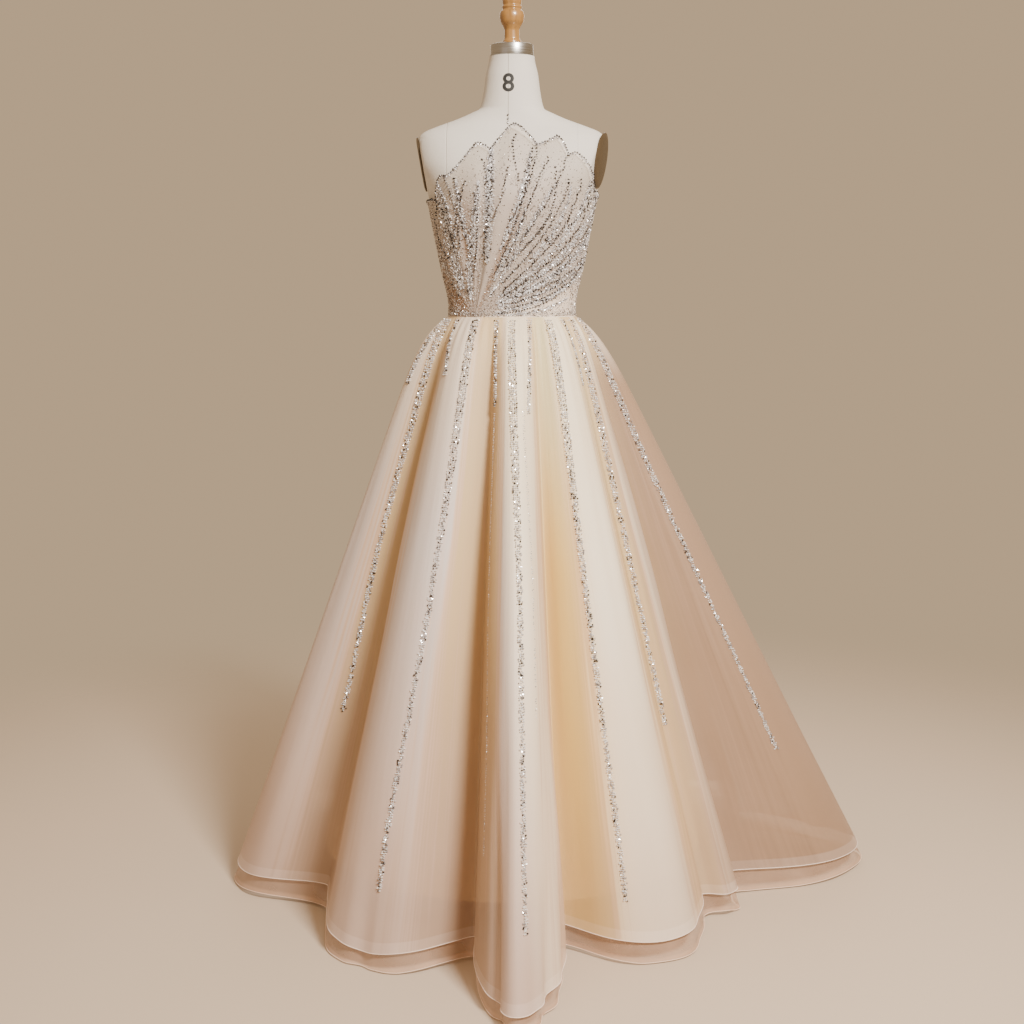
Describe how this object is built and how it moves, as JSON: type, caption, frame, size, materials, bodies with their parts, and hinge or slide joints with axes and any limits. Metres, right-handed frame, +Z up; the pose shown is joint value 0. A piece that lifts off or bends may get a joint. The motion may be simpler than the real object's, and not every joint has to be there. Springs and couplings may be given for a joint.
{
  "type": "strapless evening gown on a limbless dress form",
  "caption": "Floor-length strapless gown with a petal-edged fan bodice and a fluted sheer skirt over satin, on a limbless dress form that stands on a round base.",
  "frame": {"origin": "on the floor under the dress form's upright axis, at the centre of the stand's base", "axes": "+Z up, -Y the gown's front, +X to the right of someone looking at the front"},
  "size_m": [1.3263, 1.378, 1.7941],
  "materials": {
    "form_cloth": "matt cream linen",
    "cap_steel": "brushed",
    "turned_wood": "turned, honey lacquer",
    "plate_brown": "glossy brown",
    "stand_metal": "satin black",
    "bodice_organza": "beaded sheer organza over a champagne foundation",
    "overlay_organza": "sheer organza with a soft sheen",
    "underlayer_net": "soft peach net",
    "lining_satin": "champagne gold satin"
  },
  "bodies": {
    "root": {"form_torso": "form_cloth", "neck_cap": "cap_steel", "finial": "turned_wood", "arm_plate_left": "plate_brown", "arm_plate_right": "plate_brown", "stand_pole": "stand_metal", "stand_base": "stand_metal", "bodice_front": "bodice_organza", "bodice_back_left": "bodice_organza", "bodice_back_right": "bodice_organza", "skirt_overlay_01": "overlay_organza", "skirt_overlay_02": "overlay_organza", "skirt_overlay_03": "overlay_organza", "skirt_overlay_04": "overlay_organza", "skirt_overlay_05": "overlay_organza", "skirt_overlay_06": "overlay_organza", "skirt_overlay_07": "overlay_organza", "skirt_overlay_08": "overlay_organza", "skirt_overlay_09": "overlay_organza", "skirt_overlay_10": "overlay_organza", "skirt_underlayer_01": "underlayer_net", "skirt_underlayer_02": "underlayer_net", "skirt_underlayer_03": "underlayer_net", "skirt_underlayer_04": "underlayer_net", "skirt_underlayer_05": "underlayer_net", "skirt_lining_01": "lining_satin", "skirt_lining_02": "lining_satin", "skirt_lining_03": "lining_satin", "skirt_lining_04": "lining_satin"}
  },
  "joints": []
}
